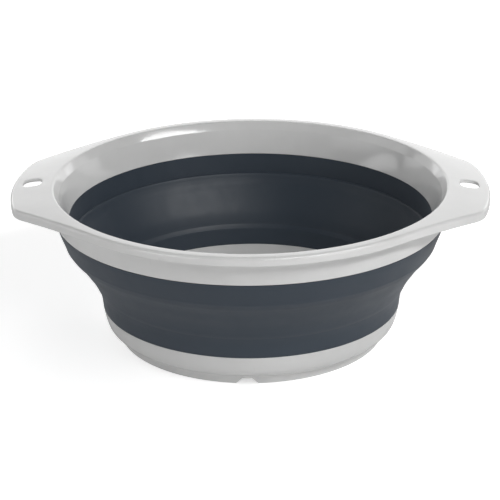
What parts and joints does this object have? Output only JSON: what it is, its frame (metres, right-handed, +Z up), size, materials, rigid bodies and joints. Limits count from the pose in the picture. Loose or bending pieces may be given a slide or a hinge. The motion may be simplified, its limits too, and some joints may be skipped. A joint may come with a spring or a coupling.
{
  "type": "collapsible bowl",
  "caption": "Round bowl with a rigid rim and footed base joined by a rubber wall that folds flat, and two ears with hanging holes.",
  "frame": {"origin": "centre of the foot ring's underside, on the bowl's axis", "axes": "+Z up along the bowl's axis, +X from the middle towards the right ear, +Y towards the back"},
  "size_m": [0.337, 0.2932, 0.113],
  "materials": {
    "rim_plastic": "smooth light grey moulding with a soft gloss",
    "upper_band_rubber": "dark blue-grey satin rubber",
    "fold_web_rubber": "dark blue-grey satin rubber",
    "lower_band_rubber": "dark blue-grey satin rubber",
    "base_plastic": "smooth light grey moulding with a soft gloss"
  },
  "bodies": {
    "base_body": {"base": "base_plastic", "lower_band": "lower_band_rubber", "fold_web": "fold_web_rubber"},
    "rim_body": {"rim": "rim_plastic", "upper_band": "upper_band_rubber"}
  },
  "joints": [
    {"name": "rim_fold", "type": "slide", "parent": "base_body", "child": "rim_body", "axis": [0, 0, -1], "range_m": [0, 0.0668], "deforming": ["fold_web"]}
  ]
}
